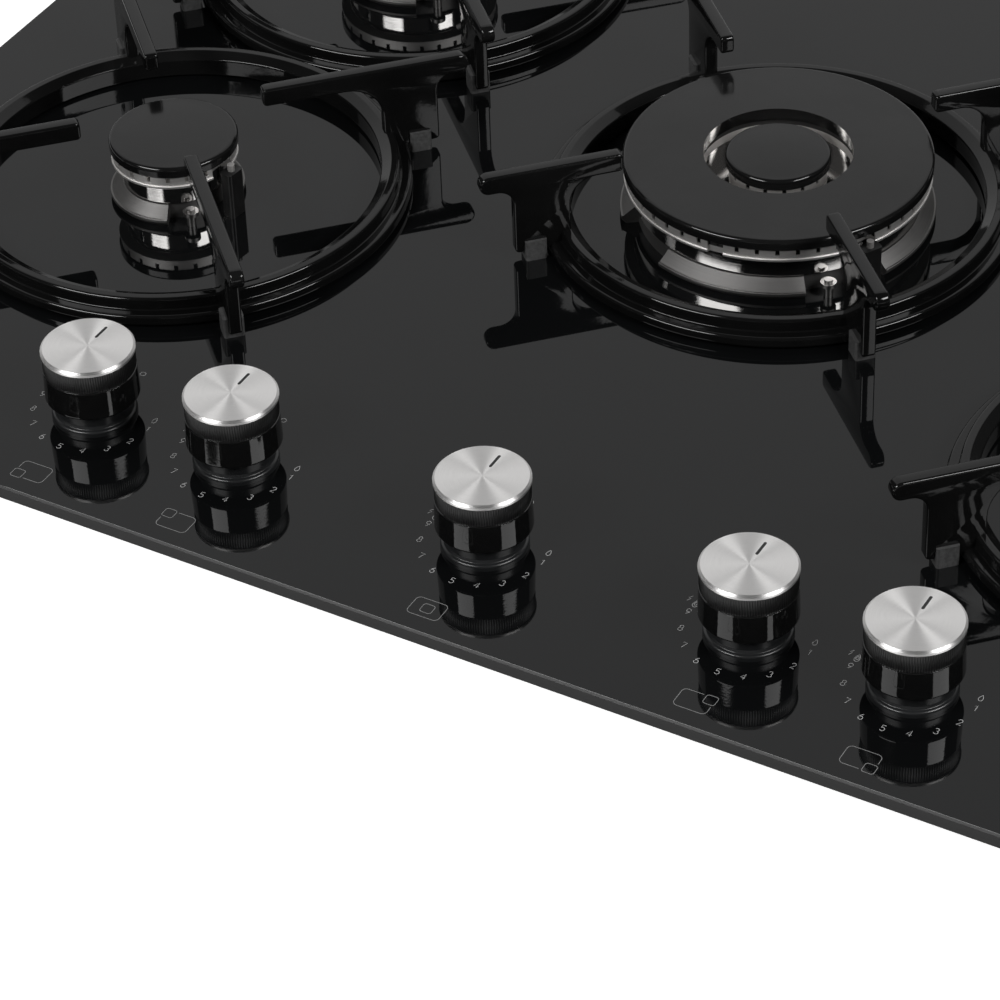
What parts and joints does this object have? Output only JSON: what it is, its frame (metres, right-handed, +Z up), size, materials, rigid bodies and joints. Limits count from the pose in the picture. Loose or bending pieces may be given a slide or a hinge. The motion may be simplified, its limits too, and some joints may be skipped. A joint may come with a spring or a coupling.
{
  "type": "built-in gas cooktop",
  "caption": "Built-in black glass gas cooktop with round cast-iron pan supports, lift-off burners and a front row of push-and-turn knobs.",
  "frame": {"origin": "middle of the underside of the burner box, under the middle of the glass", "axes": "+X to the right along the knob row, +Y to the back, +Z up through the glass"},
  "size_m": [0.752, 0.52, 0.0975],
  "materials": {
    "glass_black": "polished black tempered glass, ground edge",
    "seal_foam": "soft closed-cell strip",
    "sheet_steel": "zinc-coated sheet",
    "enamel_iron": "glossy black enamel on cast iron",
    "rubber_foot": "grey rubber",
    "cap_enamel": "glossy black enamel",
    "head_polished": "polished wall, satin top",
    "cup_satin": "satin",
    "brass": "machined",
    "tower_black": "black carrier",
    "ceramic_white": "glazed",
    "sensor_steel": "bright steel tube",
    "spun_steel": "spun, radial sheen",
    "knob_plastic": "glossy black with a knurled matt band",
    "collar_plastic": "dark grey, satin",
    "tap_alloy": "die cast",
    "steel": "plain steel",
    "pipe_alloy": "drawn tube",
    "electric_black": "moulded housing",
    "electric_white": "moulded housing"
  },
  "bodies": {
    "hob": {"glass_panel": "glass_black", "seal_strip": "seal_foam", "burner_box": "sheet_steel", "burner_cups": "cup_satin", "injectors": "brass", "sensor_towers": "tower_black", "spark_electrodes": "ceramic_white", "flame_sensors": "sensor_steel", "tap_bodies": "tap_alloy", "tap_covers": "steel", "knob_collars": "collar_plastic", "ignition_switches": "electric_black", "gas_rail": "steel", "gas_pipes": "pipe_alloy", "gas_inlet": "brass", "ignition_module": "electric_black", "mains_terminal": "electric_white", "cord_gland": "electric_black", "worktop_clamps": "steel", "clamp_screws": "steel"},
    "plug_1": {"tap_plug_1": "brass"},
    "knob_1": {"knob_cap_1": "spun_steel", "knob_body_1": "knob_plastic", "spindle_1": "steel"},
    "plug_2": {"tap_plug_2": "brass"},
    "knob_2": {"knob_cap_2": "spun_steel", "knob_body_2": "knob_plastic", "spindle_2": "steel"},
    "plug_3": {"tap_plug_3": "brass"},
    "knob_3": {"knob_cap_3": "spun_steel", "knob_body_3": "knob_plastic", "spindle_3": "steel"},
    "plug_4": {"tap_plug_4": "brass"},
    "knob_4": {"knob_cap_4": "spun_steel", "knob_body_4": "knob_plastic", "spindle_4": "steel"},
    "plug_5": {"tap_plug_5": "brass"},
    "knob_5": {"knob_cap_5": "spun_steel", "knob_body_5": "knob_plastic", "spindle_5": "steel"},
    "support_front_left": {"pan_support_front_left": "enamel_iron", "support_feet_front_left": "rubber_foot"},
    "head_front_left": {"burner_head_front_left": "head_polished"},
    "cap_front_left": {"burner_cap_front_left": "cap_enamel"},
    "support_rear_left": {"pan_support_rear_left": "enamel_iron", "support_feet_rear_left": "rubber_foot"},
    "head_rear_left": {"burner_head_rear_left": "head_polished"},
    "cap_rear_left": {"burner_cap_rear_left": "cap_enamel"},
    "support_centre": {"pan_support_centre": "enamel_iron", "support_feet_centre": "rubber_foot"},
    "head_centre": {"burner_head_centre": "head_polished"},
    "cap_centre": {"burner_cap_centre": "cap_enamel"},
    "support_rear_right": {"pan_support_rear_right": "enamel_iron", "support_feet_rear_right": "rubber_foot"},
    "head_rear_right": {"burner_head_rear_right": "head_polished"},
    "cap_rear_right": {"burner_cap_rear_right": "cap_enamel"},
    "support_front_right": {"pan_support_front_right": "enamel_iron", "support_feet_front_right": "rubber_foot"},
    "head_front_right": {"burner_head_front_right": "head_polished"},
    "cap_front_right": {"burner_cap_front_right": "cap_enamel"}
  },
  "joints": [
    {"name": "turn_1", "type": "hinge", "parent": "hob", "child": "plug_1", "pos_m": [-0.1825, -0.202, 0.023], "axis": [0, 0, 1], "range_deg": [0, 270]},
    {"name": "push_1", "type": "slide", "parent": "plug_1", "child": "knob_1", "axis": [0, 0, -1], "range_m": [0, 0.0035], "stiffness_N_per_m": 1000, "springref_m": -0.004},
    {"name": "turn_2", "type": "hinge", "parent": "hob", "child": "plug_2", "pos_m": [-0.1145, -0.202, 0.023], "axis": [0, 0, 1], "range_deg": [0, 270]},
    {"name": "push_2", "type": "slide", "parent": "plug_2", "child": "knob_2", "axis": [0, 0, -1], "range_m": [0, 0.0035], "stiffness_N_per_m": 1000, "springref_m": -0.004},
    {"name": "turn_3", "type": "hinge", "parent": "hob", "child": "plug_3", "pos_m": [0, -0.202, 0.023], "axis": [0, 0, 1], "range_deg": [0, 270]},
    {"name": "push_3", "type": "slide", "parent": "plug_3", "child": "knob_3", "axis": [0, 0, -1], "range_m": [0, 0.0035], "stiffness_N_per_m": 1000, "springref_m": -0.004},
    {"name": "turn_4", "type": "hinge", "parent": "hob", "child": "plug_4", "pos_m": [0.1145, -0.202, 0.023], "axis": [0, 0, 1], "range_deg": [0, 270]},
    {"name": "push_4", "type": "slide", "parent": "plug_4", "child": "knob_4", "axis": [0, 0, -1], "range_m": [0, 0.0035], "stiffness_N_per_m": 1000, "springref_m": -0.004},
    {"name": "turn_5", "type": "hinge", "parent": "hob", "child": "plug_5", "pos_m": [0.1825, -0.202, 0.023], "axis": [0, 0, 1], "range_deg": [0, 270]},
    {"name": "push_5", "type": "slide", "parent": "plug_5", "child": "knob_5", "axis": [0, 0, -1], "range_m": [0, 0.0035], "stiffness_N_per_m": 1000, "springref_m": -0.004},
    {"name": "lift_support_front_left", "type": "slide", "parent": "hob", "child": "support_front_left", "axis": [0, 0, 1], "range_m": [0, 0.06]},
    {"name": "lift_head_front_left", "type": "slide", "parent": "hob", "child": "head_front_left", "axis": [0, 0, 1], "range_m": [0, 0.04]},
    {"name": "lift_cap_front_left", "type": "slide", "parent": "head_front_left", "child": "cap_front_left", "axis": [0, 0, 1], "range_m": [0, 0.03]},
    {"name": "lift_support_rear_left", "type": "slide", "parent": "hob", "child": "support_rear_left", "axis": [0, 0, 1], "range_m": [0, 0.06]},
    {"name": "lift_head_rear_left", "type": "slide", "parent": "hob", "child": "head_rear_left", "axis": [0, 0, 1], "range_m": [0, 0.04]},
    {"name": "lift_cap_rear_left", "type": "slide", "parent": "head_rear_left", "child": "cap_rear_left", "axis": [0, 0, 1], "range_m": [0, 0.03]},
    {"name": "lift_support_centre", "type": "slide", "parent": "hob", "child": "support_centre", "axis": [0, 0, 1], "range_m": [0, 0.06]},
    {"name": "lift_head_centre", "type": "slide", "parent": "hob", "child": "head_centre", "axis": [0, 0, 1], "range_m": [0, 0.04]},
    {"name": "lift_cap_centre", "type": "slide", "parent": "head_centre", "child": "cap_centre", "axis": [0, 0, 1], "range_m": [0, 0.03]},
    {"name": "lift_support_rear_right", "type": "slide", "parent": "hob", "child": "support_rear_right", "axis": [0, 0, 1], "range_m": [0, 0.06]},
    {"name": "lift_head_rear_right", "type": "slide", "parent": "hob", "child": "head_rear_right", "axis": [0, 0, 1], "range_m": [0, 0.04]},
    {"name": "lift_cap_rear_right", "type": "slide", "parent": "head_rear_right", "child": "cap_rear_right", "axis": [0, 0, 1], "range_m": [0, 0.03]},
    {"name": "lift_support_front_right", "type": "slide", "parent": "hob", "child": "support_front_right", "axis": [0, 0, 1], "range_m": [0, 0.06]},
    {"name": "lift_head_front_right", "type": "slide", "parent": "hob", "child": "head_front_right", "axis": [0, 0, 1], "range_m": [0, 0.04]},
    {"name": "lift_cap_front_right", "type": "slide", "parent": "head_front_right", "child": "cap_front_right", "axis": [0, 0, 1], "range_m": [0, 0.03]}
  ]
}
